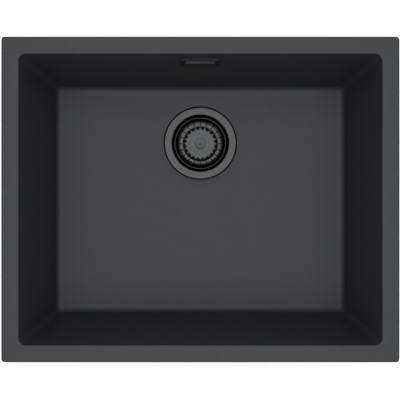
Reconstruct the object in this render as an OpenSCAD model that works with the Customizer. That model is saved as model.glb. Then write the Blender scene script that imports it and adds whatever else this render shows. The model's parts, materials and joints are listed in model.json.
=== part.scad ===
// Inset kitchen sink: one rectangular bowl of granite composite with its strainer waste,
// its overflow and the clamps that hold it in a worktop.
// The origin is the middle of the sink at the worktop's surface. +X is to the right,
// +Y to the rear and +Z up. Sizes are in millimetres and angles in degrees.

/* [Bowl] */
// Length of the rim, left to right
rim_length = 550; // [500:5:700]
// Width of the rim, front to rear
rim_width = 450; // [430:5:520]
// Width of the rim between its outer edge and the bowl's mouth
rim_border = 24; // [23:0.5:34]
// Height of the rim above the worktop
rim_height = 8; // [6:0.5:12]
// Corner radius of the rim, seen from above
rim_corner_r = 5; // [4:0.5:12]
// Rounding of the rim's upper edges
rim_edge_r = 2; // [1:0.5:3]
// Corner radius of the bowl's mouth, seen from above
mouth_corner_r = 10; // [6:1:30]
// Depth of the bowl below the rim's top
bowl_depth = 200; // [170:5:220]
// Lean of the bowl's walls from upright
draft = 6.5; // [3:0.5:8]
// Thickness of the walls and the floor
wall_t = 7; // [6:0.5:9]
// Radius between the walls and the floor
floor_r = 10; // [8:1:24]
// Fall of the floor from its edges to the waste
floor_fall = 2; // [1:0.5:4]
// Gap between loose-fitting pieces
fit_gap = 0.3; // [0.2:0.05:0.5]
// Gap between a shaft and its hole
running_gap = 0.06; // [0.03:0.01:0.1]

/* [Worktop joint] */
// Width of the rim that lies on the worktop
worktop_overlap = 7; // [6:0.5:8]
// Thickness of the sealing strip under the rim
strip_t = 1.5; // [1:0.25:3]
// Width of the sealing strip
strip_w = 5.5; // [4:0.5:5.5]
// Inset of the sealing strip from the rim's outer edge
strip_inset = 1.5; // [1:0.25:3]

/* [Clamps] */
// Distance of the front and rear clamps from the middle
clamp_x = 140; // [100:5:180]
// Width of the boss that holds a clamp
boss_w = 16; // [14:1:24]
// Height of the boss below the worktop's surface
boss_h = 22; // [20:1:26]
// Diameter of the clamp screw
clamp_screw_d = 5; // [4:0.5:5]
// Diameter of the brass insert in the boss
insert_d = 6.6; // [6.2:0.2:7]
// Length of the brass insert
insert_h = 11; // [8:1:14]
// Diameter of the clamp screw's head
clamp_head_d = 9; // [8:0.5:9]
// Height of the clamp screw's head
clamp_head_h = 3.5; // [2:0.5:5]
// Thickest worktop that the clamps take
worktop_max = 40; // [36:1:44]
// Travel of a clamp from the thickest worktop to the thinnest
clamp_travel = 12; // [6:1:12]
// Length of the clamp tongue from its screw to its tip
tongue_length = 24; // [18:1:32]
// Width of the clamp tongue
tongue_w = 9; // [7:0.5:9]
// Thickness of the clamp tongue
tongue_t = 2.5; // [1.5:0.5:3]
// Height of the tongue's turned-up tip above its flat
tip_h = 4; // [2:0.5:6]

/* [Waste] */
// Distance of the waste behind the middle of the sink
waste_y = 90; // [0:5:90]
// Diameter of the waste hole in the floor
waste_hole_d = 90; // [89:0.5:92]
// Depth of the recess round the waste hole
recess_depth = 2.5; // [2:0.5:3.5]
// Gap between the flange and the edge of its recess
recess_gap = 2; // [1:0.5:3]
// Thickness of the floor under the flange
seat_t = 8; // [7:0.5:12]
// Diameter of the waste's flange
flange_d = 113; // [110:1:118]
// Width of the flat part of the flange
flange_w = 10; // [9.8:0.1:10.6]
// Radius where the flange turns down into the cup
turn_r = 2.8; // [2.2:0.1:3]
// Thickness of the flange's steel sheet
sheet_t = 1; // [0.8:0.1:1.2]
// Thickness of the seal under the flange
flange_seal_t = 1.2; // [0.8:0.1:1.6]
// Thickness of the gasket under the sink
gasket_t = 2; // [1.5:0.25:4]
// Width of the cup's floor round its central well
cup_floor_r = 32; // [31:0.5:33]
// Number of outlet holes in the cup's floor
outlet_count = 8; // [6:1:10]
// Diameter of an outlet hole in the cup's floor
outlet_hole_d = 6; // [4:0.2:6.6]

/* [Basket] */
// Depth of the basket's floor below the flange
basket_depth = 18; // [17:1:26]
// Drop of the basket's lip below the flange
lip_drop = 4; // [3:0.25:4.5]
// Outer diameter of the basket's lip
lip_d = 82.4; // [81:0.2:83]
// Radius of the basket's flat floor
foot_r = 26; // [25.5:0.25:26.5]
// Rounding between the basket's wall and its floor
basket_round_r = 12; // [11.5:0.25:12.5]
// Thickness of the basket's steel sheet
basket_t = 0.8; // [0.6:0.1:1]
// Number of flutes, and of strainer holes
flute_count = 20; // [16:1:22]
// Height of a flute above the basket's floor
flute_height = 2.4; // [2.2:0.1:2.6]
// Radius of a flute's rounded back
flute_r = 13; // [12:0.5:14]
// Radius of the bend that takes a flute up the wall
flute_bend_r = 6.9; // [6.5:0.1:7]
// Diameter of a strainer hole
strainer_hole_d = 5.6; // [5:0.1:5.8]
// Radius of the ring of strainer holes
hole_ring_r = 25.3; // [25:0.1:25.5]
// Thickness of the rubber seal under the basket
plug_seal_t = 3; // [2.5:0.25:4]
// Diameter of the rubber seal under the basket
plug_seal_d = 55; // [53:0.5:57]
// Thickness of the seal's outer lip, below the strainer holes
plug_lip_t = 1.5; // [1:0.1:1.8]
// Diameter of the basket's post
post_d = 8; // [7:0.25:8]
// Diameter of the post's dished head
post_head_d = 17.6; // [15:0.2:19]
// Thickness of the post's head
post_head_t = 1.5; // [1.3:0.1:1.6]
// Depth of the dish in the post's head
dish_depth = 1; // [0.5:0.1:1]
// Reach of the post below the cup's floor
post_reach = 16; // [14:1:16]

/* [Waste body] */
// Outer diameter of the outlet's thread
outlet_d = 47.8; // [46:0.1:48]
// Length of the outlet's thread
outlet_length = 22; // [18:1:30]
// Wall thickness of the waste body
body_t = 3; // [2.5:0.25:3.5]
// Gap between the cup and the waste body
cup_gap = 1.5; // [1:0.25:2]
// Height of the waste body's chamber below the gasket
chamber_h = 40; // [38:1:50]
// Height of the cone between the chamber and the outlet
cone_h = 15; // [12:1:30]
// Diameter of the centre screw
centre_screw_d = 12; // [11.5:0.5:12]
// Diameter of the centre screw's head
centre_head_d = 16; // [14.5:0.5:16]
// Height of the centre screw's head
centre_head_h = 5; // [4:0.5:7]
// Number of ribs that carry the waste body's centre
rib_count = 4; // [3:1:5]

/* [Overflow] */
// Depth of the overflow's middle below the rim's top
overflow_depth = 44; // [40:1:60]
// Width of the overflow's cover
cover_w = 46; // [42:1:50]
// Height of the overflow's cover
cover_h = 24; // [20:1:26]
// Thickness of the cover, and of the frame's lip
cover_t = 1.5; // [1:0.25:2]
// Width of the overflow's frame
frame_w = 62; // [60:1:70]
// Height of the overflow's frame
frame_h = 32; // [31:1:36]
// Gap round the cover where the water enters
entry_gap = 2.4; // [1.5:0.1:3.5]
// Width of the hole in the wall
slot_w = 49; // [48:1:52]
// Height of the hole in the wall
slot_h = 22; // [20:1:24]
// Depth of the housing behind the wall
housing_depth = 10; // [9:0.5:10]
// Outer diameter of the overflow pipe
pipe_d = 20; // [18:0.5:20]
// Wall thickness of the overflow pipe
pipe_t = 1.6; // [1.2:0.1:2]
// Radius of the overflow pipe's bend
bend_r = 32; // [26:1:36]
// Depth of the pipe's inlet into the waste body, below the gasket
inlet_drop = 25; // [23:1:25]

/* [Hidden] */
$fn = 96;

// Colours, as the photograph shows them
composite = "#48494c";
gunmetal = "#606164";
black_plastic = "#26272a";
rubber_black = "#1b1b1c";
brass = "#b08d4c";
zinc = "#a3a7ab";
// How far a cutting shape runs past what it cuts
past = 1;

// Places in the bowl's section, measured from the middle and from the worktop's surface
rim_x = rim_length / 2;
rim_y = rim_width / 2;
mouth_x = rim_x - rim_border;
mouth_y = rim_y - rim_border;
rim_under = strip_t;
floor_z = rim_height - bowl_depth;
floor_low = floor_z - floor_fall;
lean = tan(draft);
slant_t = wall_t / cos(draft);
corner_steps = 8;
round_steps = 6;
edge_steps = 4;
// Smallest corner radius of the floor's outline
floor_corner_r = 3;
// How much of a step inwards a corner's radius loses along the floor's rounding
corner_share = 0.5;
lower_edge = 0.8;

// Places round the waste, from the recess down
recess_r = flange_d / 2 + recess_gap;
pad_rim_w = 4;
pad_r = recess_r + pad_rim_w;
seat_z = floor_low - recess_depth;
pad_z = seat_z - seat_t;
flange_under = seat_z + flange_seal_t;
flange_top = flange_under + sheet_t;
flat_r = flange_d / 2 - flange_w;
seal_hole_r = flat_r + fit_gap;
cup_r = flat_r - turn_r;
cup_outer_r = cup_r + sheet_t;
basket_floor = flange_top - basket_depth;
basket_under = basket_floor - basket_t;
cup_floor = basket_under - plug_seal_t - running_gap;
head_top = cup_floor - fit_gap;
well_floor = head_top - centre_head_h;
well_r = centre_head_d / 2 + 1.5;
cup_under = well_floor - sheet_t;
outlet_ring_r = (well_r + cup_floor_r) / 2;
// Height of the cup's upright wall below the flange's turn
cup_upright_h = 5.7;
shoulder_z = flange_top - turn_r - cup_upright_h;

// The basket
lip_z = flange_top - lip_drop;
lip_round_r = 0.9;
basket_r = lip_d / 2 - lip_round_r - basket_t / 2;
knee_z = basket_floor + basket_round_r;
// The middle of a flute's bend, and how far the flute's back keeps inside the wall
flute_inset = 0.1;
bend_mid_r = foot_r + basket_round_r - flute_bend_r - flute_inset;
bend_mid_z = basket_floor + flute_height + flute_bend_r;
head_recess_r = post_head_d / 2 + fit_gap;
head_recess_slope = 0.5;
// The first flute and the first hole lie half a step off the rear
first_flute = 90 - 180 / flute_count;
// Height above the basket's underside up to which a hole is cut
hole_cut_h = 4.8;
post_r = post_d / 2;
retainer_r = head_recess_r + 2.1;
retainer_lip_r = retainer_r + 1.8;
plug_hub_r = 21;
retainer_lip_t = 0.8;
post_end = head_top - post_reach;
ring_z = (head_top + post_end) / 2;
ring_wire_r = 0.9;
ring_mid_r = post_r + running_gap / 2 - ring_wire_r;

// The waste body
body_top = pad_z - gasket_t;
body_r = cup_outer_r + cup_gap;
body_outer_r = body_r + body_t;
body_flange_r = flange_d / 2 + 0.5;
body_flange_t = 5.5;
chamber_z = body_top - chamber_h;
cone_z = chamber_z - cone_h;
outlet_z = cone_z - outlet_length;
outlet_r = outlet_d / 2;
thread_h = 0.4;
outlet_bore_r = outlet_r - body_t - thread_h;
centre_boss_r = 12;
centre_boss_h = 18;
boss_z = cup_under - centre_boss_h;
centre_insert_r = 9;
centre_insert_h = 14;
rib_t = 3;
post_tip_gap = 1.5;
post_bore_z = post_end - post_tip_gap;
centre_socket_r = post_r + 1.4;

// The clamps: where each stands on the rim and which way it faces
worktop_x = rim_x - worktop_overlap;
worktop_y = rim_y - worktop_overlap;
boss_gap = 1.6;
screw_inset = insert_d / 2 + 1.3;
clamp_x_out = worktop_x - boss_gap;
clamp_y_out = worktop_y - boss_gap;
clamp_places = [
    [-clamp_x, clamp_y_out, 0], [clamp_x, clamp_y_out, 0],
    [-clamp_x_out, 0, 90], [clamp_x_out, 0, -90],
    [-clamp_x, -clamp_y_out, 180], [clamp_x, -clamp_y_out, 180]
];
clamp_count = len(clamp_places);
boss_round_r = 3;
clamp_socket_r = 2.6;
// Share of a clamp screw's head that its socket takes
clamp_socket_share = 0.6;
// How far a boss stops short of the wall's inner face
boss_skin = 2.5;
tip_z = -worktop_max - 2;
tongue_z = tip_z - tip_h - tongue_t;
clamp_shaft_top = -boss_h + insert_h / 2;
clamp_bore_z = clamp_shaft_top + clamp_travel + past;

// The overflow: its own frame has Y out through the wall and Z up along the wall
overflow_z = rim_height - overflow_depth;
overflow_y = mouth_y - overflow_depth * lean;
frame_spigot_w = slot_w - 2 * fit_gap;
frame_spigot_h = slot_h - 2 * fit_gap;
frame_t = 1.6;
slot_corner_r = 5;
frame_corner_r = 9;
cover_corner_r = 5;
cover_back = -cover_t - entry_gap;
screw_bar_x = 11;
screw_bar_w = 8;
screw_bar_t = 2;
overflow_screw_r = 2;
overflow_screw_head_r = 3.4;
overflow_screw_head_h = 2;
overflow_head_back = overflow_screw_head_h - cover_t;
overflow_boss_r = 4;
screw_slot_w = 0.8;
screw_slot_h = 1;
peg_x = 18.4;
peg_r = 1.8;
peg_boss_r = 3.2;
peg_reach = 3;
peg_boss_end = peg_reach + 1;
peg_web_t = 2;
overflow_gasket_t = 2;
housing_front = wall_t + overflow_gasket_t;
housing_back = housing_front + housing_depth;
housing_w = frame_w;
housing_t = 2;
housing_h = frame_h + 2 * housing_t;
frame_reach = housing_front + housing_t;
overflow_screw_end = housing_back - housing_t / 2;

// The overflow pipe, from the housing's spigot down to the waste body's inlet
pipe_r = pipe_d / 2;
pipe_bore_r = pipe_r - pipe_t;
spigot_bore_r = pipe_r + fit_gap;
spigot_t = 2;
spigot_r = spigot_bore_r + spigot_t;
pipe_y = mouth_y + slant_t + spigot_r;
inlet_z = body_top - inlet_drop;
spigot_drop = 40;
spigot_end_z = overflow_z - spigot_drop;
pipe_entry = 12;
inlet_reach = 20;
inlet_end_y = waste_y + body_outer_r + inlet_reach;
// The hood carries the water from the housing's foot back to the spigot
hood_drop = 8;
hood_top = overflow_z - hood_drop;
hood_under = overflow_z - housing_h / 2;
hood_front = overflow_y + housing_front + past;
nut_cover = 9;
pipe_seal_t = 3.4;
nut_lip_t = 2.5;
nut_r = spigot_r + running_gap + 3;
grip_count = 12;
grip_r = 1.2;

// A round stretch of an outline about a centre, from one angle to another
function arc(centre, r, from, to, steps) =
    [for (i = [0:steps]) let (a = from + (to - from) * i / steps) centre + r * [cos(a), sin(a)]];

// The direction square to a step of an outline, on its left
function left(from, to) = let (d = (to - from) / norm(to - from)) [-d[1], d[0]];

// An outline moved to its left by a distance, with its corners mitred
function moved(path, distance) = [
    for (i = [0:len(path) - 1])
        let (
            before = max(i, 1),
            after = min(i + 1, len(path) - 1),
            a = left(path[before - 1], path[before]),
            b = left(path[after - 1], path[after])
        )
        path[i] + distance * (a + b) / (1 + a * b)
];

function reversed(path) = [for (i = [len(path) - 1:-1:0]) path[i]];

// The section of a sheet that follows an outline
function sheet_section(path, thickness) = concat(path, reversed(moved(path, thickness)));

// Distance that the inner face of a wall has come inwards at a height
function wall_inset(z) = (rim_height - z) * lean;

// The outline of a rectangle with rounded corners, from its half-sizes
function corner_points(half_x, half_y, r) = [
    for (c = [0:3])
        for (p = arc(
            [(c == 0 || c == 3 ? 1 : -1) * (half_x - r), (c < 2 ? 1 : -1) * (half_y - r)],
            r, 90 * c, 90 * c + 90, corner_steps
        ))
            p
];

// One ring of the bowl's skin, a distance inside the mouth's edge and at a height
function box_ring(inset, z, r) =
    [for (p = corner_points(mouth_x - inset, mouth_y - inset, r)) [p[0], p[1], z]];

ring_points = 4 * (corner_steps + 1);

// One ring of points round the waste
function waste_ring(r, z) = [
    for (i = [0:ring_points - 1])
        let (a = 360 * (i + 0.5) / ring_points) [r * cos(a), waste_y + r * sin(a), z]
];

// The rounding between a wall and the floor, as [inset, height] pairs from the wall to the floor
round_z = floor_z + floor_r;
round_inset = wall_inset(round_z) + floor_r / cos(draft);
function floor_round(r) = [
    for (i = [0:round_steps])
        let (a = draft + (90 - draft) * i / round_steps)
        [round_inset - r * cos(a), round_z - r * sin(a)]
];

// Corner radius of the inner face's outline, where it lies a distance inwards of the wall
function corner_at(inset, z) =
    max(mouth_corner_r - corner_share * (inset - wall_inset(z)), floor_corner_r);

// The rings of the bowl's skin, from the waste outwards below, over the rim and back inside
function bowl_rings() = let (
        hole_r = waste_hole_d / 3,
        under = reversed(floor_round(floor_r + wall_t)),
        inside = floor_round(floor_r),
        outer_inset = -rim_border,
        edge_z = rim_height - rim_edge_r,
        mouth_mid = wall_inset(edge_z) - rim_edge_r / cos(draft)
    )
    concat(
        [waste_ring(hole_r, pad_z), waste_ring(pad_r, pad_z), waste_ring(pad_r + past, floor_low - wall_t)],
        [for (p = under) box_ring(p[0], p[1], corner_at(p[0] + wall_t, p[1]) + wall_t)],
        [box_ring(wall_inset(rim_under) - slant_t, rim_under, mouth_corner_r + wall_t)],
        [box_ring(outer_inset + lower_edge, rim_under, rim_corner_r - lower_edge)],
        [box_ring(outer_inset, rim_under + lower_edge, rim_corner_r)],
        [for (p = arc([outer_inset + rim_edge_r, edge_z], rim_edge_r, 180, 90, edge_steps))
            box_ring(p[0], p[1], rim_corner_r - (p[0] - outer_inset))],
        [for (p = arc([mouth_mid, edge_z], rim_edge_r, 90, draft, edge_steps))
            box_ring(p[0], p[1], mouth_corner_r + wall_inset(p[1]) - p[0])],
        [for (p = inside) box_ring(p[0], p[1], corner_at(p[0], p[1]))],
        [waste_ring(recess_r + past, floor_low), waste_ring(hole_r, floor_low)]
    );

// A solid whose skin runs through a closed chain of rings
module ring_chain(rings) {
    count = len(rings);
    around = len(rings[0]);
    polyhedron(
        points = [for (ring = rings) each ring],
        faces = [
            for (j = [0:count - 1])
                for (i = [0:around - 1])
                    let (
                        next_j = (j + 1) % count,
                        next_i = (i + 1) % around,
                        a = j * around + i,
                        b = j * around + next_i,
                        c = next_j * around + next_i,
                        d = next_j * around + i
                    )
                    each [[a, c, b], [a, d, c]]
        ],
        convexity = 8
    );
}

// A flat outline with rounded corners
module round_rect(w, h, r) {
    square([w - 2 * r, h], center = true);
    square([w, h - 2 * r], center = true);
    for (x = [-1, 1])
        for (y = [-1, 1])
            translate([x * (w / 2 - r), y * (h / 2 - r)])
                circle(r);
}

// A round solid or ring with its lower face at a height
module ring(outer_r, inner_r, z, h) {
    translate([0, 0, z])
        difference() {
            cylinder(r = outer_r, h = h);
            translate([0, 0, -past])
                cylinder(r = inner_r, h = h + 2 * past);
        }
}

module at_waste() {
    translate([0, waste_y, 0])
        children();
}

// The overflow's frame of reference on the inner face of the rear wall
module at_overflow() {
    translate([0, overflow_y, overflow_z])
        rotate([-draft, 0, 0])
            children();
}

// A slab across the overflow's wall, from one depth to another
module wall_slab(w, h, r, from, to) {
    translate([0, to, 0])
        rotate([90, 0, 0])
            linear_extrude(height = to - from)
                round_rect(w, h, r);
}

// A round bar across the overflow's wall
module wall_bar(x, r, from, to) {
    translate([x, to, 0])
        rotate([90, 0, 0])
            cylinder(r = r, h = to - from);
}

// A clamp's frame of reference: its screw's axis, with Y outwards
module at_clamp(k) {
    translate([clamp_places[k][0], clamp_places[k][1], 0])
        rotate([0, 0, clamp_places[k][2]])
            translate([0, -screw_inset, 0])
                children();
}

module clamp_boss() {
    depth = rim_border - worktop_overlap - boss_gap + wall_inset(rim_under) - boss_skin;
    translate([0, screw_inset - depth / 2, -boss_h])
        linear_extrude(height = boss_h + rim_under + past)
            polygon(corner_points(boss_w / 2, depth / 2, boss_round_r));
}

module sink_bowl() {
    color(composite)
        difference() {
            union() {
                ring_chain(bowl_rings());
                for (k = [0:clamp_count - 1])
                    at_clamp(k)
                        clamp_boss();
            }
            at_waste() {
                translate([0, 0, seat_z])
                    cylinder(r = recess_r, h = recess_depth + floor_fall);
                translate([0, 0, pad_z - past])
                    cylinder(d = waste_hole_d, h = seat_t + 2 * past);
            }
            at_overflow()
                wall_slab(slot_w, slot_h, slot_corner_r, -past, wall_t + past);
            for (k = [0:clamp_count - 1])
                at_clamp(k) {
                    translate([0, 0, -boss_h - past])
                        cylinder(d = insert_d + 2 * running_gap, h = insert_h + past);
                    translate([0, 0, -boss_h])
                        cylinder(d = clamp_screw_d + 2 * fit_gap, h = boss_h + clamp_bore_z);
                }
        }
}

module rim_strip() {
    outer_w = rim_length - 2 * strip_inset;
    outer_h = rim_width - 2 * strip_inset;
    strip_r = rim_corner_r - strip_inset;
    color(rubber_black)
        linear_extrude(height = strip_t)
            difference() {
                round_rect(outer_w, outer_h, strip_r);
                square([outer_w - 2 * strip_w, outer_h - 2 * strip_w], center = true);
            }
}

module clamp_inserts() {
    color(brass)
        for (k = [0:clamp_count - 1])
            at_clamp(k)
                ring(insert_d / 2, clamp_screw_d / 2 + running_gap, -boss_h, insert_h);
}

module clamp_screw(k) {
    head_z = tongue_z - running_gap - clamp_head_h;
    color(zinc)
        at_clamp(k)
            difference() {
                union() {
                    translate([0, 0, head_z])
                        cylinder(d = clamp_head_d, h = clamp_head_h);
                    translate([0, 0, head_z])
                        cylinder(d = clamp_screw_d, h = clamp_shaft_top - head_z);
                }
                translate([0, 0, head_z - past])
                    cylinder(r = clamp_socket_r, h = past + clamp_head_h * clamp_socket_share, $fn = 6);
            }
}

module clamp_tongue(k) {
    flat_length = tongue_length - tongue_t;
    color(zinc)
        at_clamp(k)
            translate([0, 0, tongue_z])
                difference() {
                    union() {
                        linear_extrude(height = tongue_t) {
                            circle(d = tongue_w);
                            translate([0, -tongue_w / 2])
                                square([flat_length + tongue_t, tongue_w]);
                        }
                        translate([flat_length, -tongue_w / 2, 0])
                            cube([tongue_t, tongue_w, tongue_t + tip_h]);
                    }
                    translate([0, 0, -past])
                        cylinder(r = clamp_screw_d / 2 + running_gap, h = tongue_t + 2 * past);
                    translate([flat_length - past, 0, tongue_t + tip_h])
                        rotate([45, 0, 0])
                            cube([tongue_t + 2 * past, tip_h / 2, tip_h / 2]);
                }
}

// The inner face of the flange and its cup, from the flange's edge to the centre screw's hole
function cup_path() = concat(
    [[flange_d / 2, flange_top]],
    arc([flat_r, flange_top - turn_r], turn_r, 90, 180, round_steps),
    [
        [cup_r, shoulder_z],
        [cup_floor_r, cup_floor],
        [well_r, cup_floor],
        [well_r, well_floor],
        [centre_screw_d / 2 + running_gap, well_floor]
    ]
);

module waste_flange() {
    color(gunmetal)
        at_waste()
            difference() {
                rotate_extrude()
                    polygon(sheet_section(cup_path(), sheet_t));
                for (i = [0:outlet_count - 1])
                    rotate([0, 0, 360 * i / outlet_count])
                        translate([outlet_ring_r, 0, cup_floor - sheet_t - past])
                            cylinder(d = outlet_hole_d, h = sheet_t + 2 * past);
            }
}

module flange_seal() {
    color(rubber_black)
        at_waste()
            ring(recess_r - fit_gap, seal_hole_r, seat_z, flange_seal_t);
}

module body_gasket() {
    color(rubber_black)
        at_waste()
            ring(body_flange_r, seal_hole_r, body_top, gasket_t);
}

// The outer skin of the waste body, and its inner face below the gasket
body_outline = [
    [0, body_top],
    [body_flange_r, body_top],
    [body_flange_r, body_top - body_flange_t],
    [body_outer_r, body_top - body_flange_t],
    [body_outer_r, chamber_z],
    [outlet_r, cone_z],
    [outlet_r, outlet_z],
    [0, outlet_z]
];
body_hollow = [
    [0, body_top + past],
    [body_r, body_top + past],
    [body_r, chamber_z],
    [outlet_bore_r, cone_z],
    [outlet_bore_r, outlet_z - past],
    [0, outlet_z - past]
];

module waste_body() {
    color(black_plastic)
        at_waste()
            difference() {
                union() {
                    difference() {
                        rotate_extrude()
                            polygon(body_outline);
                        rotate_extrude()
                            polygon(body_hollow);
                    }
                    difference() {
                        translate([0, body_r + body_t / 2, inlet_z])
                            rotate([-90, 0, 0])
                                cylinder(r = spigot_r, h = inlet_end_y - waste_y - body_r - body_t / 2);
                        translate([0, 0, chamber_z - past])
                            cylinder(r = body_r, h = chamber_h);
                    }
                    translate([0, 0, boss_z])
                        cylinder(r = centre_boss_r, h = centre_boss_h);
                    for (i = [0:rib_count - 1])
                        rotate([0, 0, 360 * (i + 0.5) / rib_count])
                            translate([0, -rib_t / 2, boss_z])
                                cube([body_r + body_t / 2, rib_t, centre_insert_h]);
                }
                translate([0, 0, inlet_z])
                    rotate([-90, 0, 0])
                        translate([0, 0, body_r - past])
                            cylinder(r = pipe_bore_r, h = inlet_end_y - waste_y - body_r);
                translate([0, inlet_end_y - waste_y - pipe_entry, inlet_z])
                    rotate([-90, 0, 0])
                        cylinder(r = spigot_bore_r, h = pipe_entry + past);
                translate([0, 0, boss_z - past])
                    cylinder(r = centre_insert_r + running_gap, h = centre_insert_h + past);
                translate([0, 0, boss_z])
                    cylinder(r = centre_screw_d / 2 + running_gap, h = centre_boss_h + past);
            }
}

module body_insert() {
    color(brass)
        at_waste()
            ring(centre_insert_r, centre_screw_d / 2 + running_gap, boss_z, centre_insert_h);
}

module centre_screw() {
    color(brass)
        at_waste()
            difference() {
                union() {
                    translate([0, 0, well_floor])
                        cylinder(d = centre_head_d, h = centre_head_h);
                    translate([0, 0, boss_z])
                        cylinder(d = centre_screw_d, h = well_floor - boss_z + past);
                }
                translate([0, 0, post_bore_z])
                    cylinder(r = post_r + running_gap, h = head_top - post_bore_z + past);
                translate([0, 0, head_top - centre_head_h / 2])
                    cylinder(r = centre_socket_r, h = centre_head_h, $fn = 6);
            }
}

// The inner face of the basket without its flutes, from the lip to the middle
basket_path = concat(
    [[basket_r, lip_z]],
    arc([foot_r, knee_z], basket_round_r, 0, -90, round_steps),
    [
        [head_recess_r + head_recess_slope, basket_floor],
        [head_recess_r, basket_floor - post_head_t],
        [0, basket_floor - post_head_t]
    ]
);

// A flute's round back: a bent bar outside the sheet, with a round end at its foot
module flute(shrink) {
    translate([bend_mid_r, 0, bend_mid_z])
        rotate([90, 0, 0]) {
            rotate([0, 0, -90])
                rotate_extrude(angle = 90)
                    translate([flute_bend_r + flute_r, 0])
                        circle(flute_r - shrink);
            translate([0, -flute_bend_r - flute_r, 0])
                sphere(flute_r - shrink);
        }
}

// The space inside the basket, grown outwards by a distance
module basket_space(grow, top) {
    difference() {
        rotate_extrude()
            polygon(concat([[0, top], [basket_r + grow, top]], moved(basket_path, grow)));
        for (i = [0:flute_count - 1])
            rotate([0, 0, first_flute + 360 * i / flute_count])
                flute(grow);
    }
}

module basket() {
    color(gunmetal)
        at_waste() {
            difference() {
                union() {
                    basket_space(basket_t, lip_z);
                    rotate_extrude()
                        translate([basket_r + basket_t / 2, lip_z])
                            circle(lip_round_r, $fn = 24);
                }
                basket_space(0, lip_z + lip_round_r + past);
                for (i = [0:flute_count - 1])
                    rotate([0, 0, first_flute + 360 * i / flute_count])
                        translate([hole_ring_r, 0, basket_under - past])
                            cylinder(d = strainer_hole_d, h = hole_cut_h + past, $fn = 24);
                translate([0, 0, basket_under - post_head_t - past])
                    cylinder(r = post_r + running_gap, h = post_head_t + basket_t + 2 * past);
            }
        }
}

module basket_seal() {
    color(rubber_black)
        at_waste()
            difference() {
                union() {
                    ring(plug_hub_r, retainer_r + running_gap, basket_under - plug_seal_t, plug_seal_t);
                    ring(plug_seal_d / 2, retainer_r + running_gap, basket_under - plug_seal_t, plug_lip_t);
                }
                translate([0, 0, basket_under - plug_seal_t - past])
                    cylinder(r = retainer_lip_r + running_gap, h = retainer_lip_t + running_gap + past);
            }
}

module seal_retainer() {
    lip_under = basket_under - plug_seal_t;
    color(black_plastic)
        at_waste()
            difference() {
                union() {
                    translate([0, 0, lip_under])
                        cylinder(r = retainer_r, h = plug_seal_t - post_head_t);
                    translate([0, 0, lip_under])
                        cylinder(r = retainer_lip_r, h = retainer_lip_t);
                }
                translate([0, 0, lip_under - past])
                    cylinder(r = post_r + running_gap, h = plug_seal_t + 2 * past);
            }
}

module strainer_post() {
    head_under = basket_floor - post_head_t + running_gap;
    dish_r = (pow(post_head_d / 2, 2) + pow(dish_depth, 2)) / (2 * dish_depth);
    color(gunmetal)
        at_waste()
            difference() {
                union() {
                    translate([0, 0, head_under])
                        cylinder(d = post_head_d, h = basket_floor - head_under);
                    translate([0, 0, post_end])
                        cylinder(r = post_r, h = head_under - post_end);
                }
                translate([0, 0, basket_floor - dish_depth + dish_r])
                    sphere(dish_r);
                ring(post_r + past, ring_mid_r - ring_wire_r, ring_z - ring_wire_r, 2 * ring_wire_r);
            }
}

module post_ring() {
    color(rubber_black)
        at_waste()
            translate([0, 0, ring_z])
                rotate_extrude()
                    translate([ring_mid_r, 0])
                        circle(ring_wire_r, $fn = 24);
}

// The bar behind the frame's opening that a screw's head bears on
module screw_bar(x, h) {
    translate([x - screw_bar_w / 2, overflow_head_back, -h / 2])
        cube([screw_bar_w, screw_bar_t, h]);
}

// The web that joins a peg's boss to the frame's side
module peg_web(from, to) {
    translate([min(from, to), -cover_t, -peg_web_t / 2])
        cube([abs(to - from), cover_t + peg_boss_end, peg_web_t]);
}

module overflow_frame() {
    inner_w = frame_spigot_w - 2 * frame_t;
    inner_h = frame_spigot_h - 2 * frame_t;
    inner_r = slot_corner_r - frame_t;
    side_x = inner_w / 2 + frame_t / 2;
    color(gunmetal)
        at_overflow()
            difference() {
                union() {
                    difference() {
                        union() {
                            wall_slab(frame_w, frame_h, frame_corner_r, -cover_t, 0);
                            wall_slab(frame_spigot_w, frame_spigot_h, slot_corner_r, -cover_t, frame_reach);
                        }
                        wall_slab(inner_w, inner_h, inner_r, -cover_t - past, frame_reach + past);
                    }
                    for (side = [-1, 1]) {
                        screw_bar(side * screw_bar_x, inner_h + frame_t);
                        wall_bar(side * peg_x, peg_boss_r, -cover_t, peg_boss_end);
                        peg_web(side * peg_x, side * side_x);
                    }
                }
                for (side = [-1, 1]) {
                    wall_bar(side * screw_bar_x, overflow_screw_r + running_gap, -cover_t, 2 * wall_t);
                    wall_bar(side * peg_x, peg_r + running_gap, -cover_t - past, peg_reach + running_gap);
                }
            }
}

module overflow_cover() {
    color(gunmetal)
        at_overflow() {
            wall_slab(cover_w, cover_h, cover_corner_r, cover_back - cover_t, cover_back);
            for (side = [-1, 1])
                wall_bar(side * peg_x, peg_r, cover_back - cover_t / 2, peg_reach);
        }
}

module overflow_screws() {
    color(zinc)
        at_overflow()
            for (x = [-screw_bar_x, screw_bar_x])
                difference() {
                    union() {
                        wall_bar(x, overflow_screw_head_r, -cover_t, overflow_head_back);
                        wall_bar(x, overflow_screw_r, -cover_t, overflow_screw_end);
                    }
                    translate([x - overflow_screw_head_r, -cover_t - past, -screw_slot_w / 2])
                        cube([2 * overflow_screw_head_r, past + screw_slot_h, screw_slot_w]);
                }
}

module overflow_gasket() {
    color(rubber_black)
        at_overflow()
            difference() {
                wall_slab(housing_w, frame_h, frame_corner_r, wall_t, housing_front);
                wall_slab(slot_w, slot_h, slot_corner_r, wall_t - past, housing_front + past);
            }
}

// The space that the water falls through inside the housing
module housing_space() {
    wall_slab(slot_w, slot_h, slot_corner_r, housing_front - past, housing_back - housing_t);
}

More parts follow.
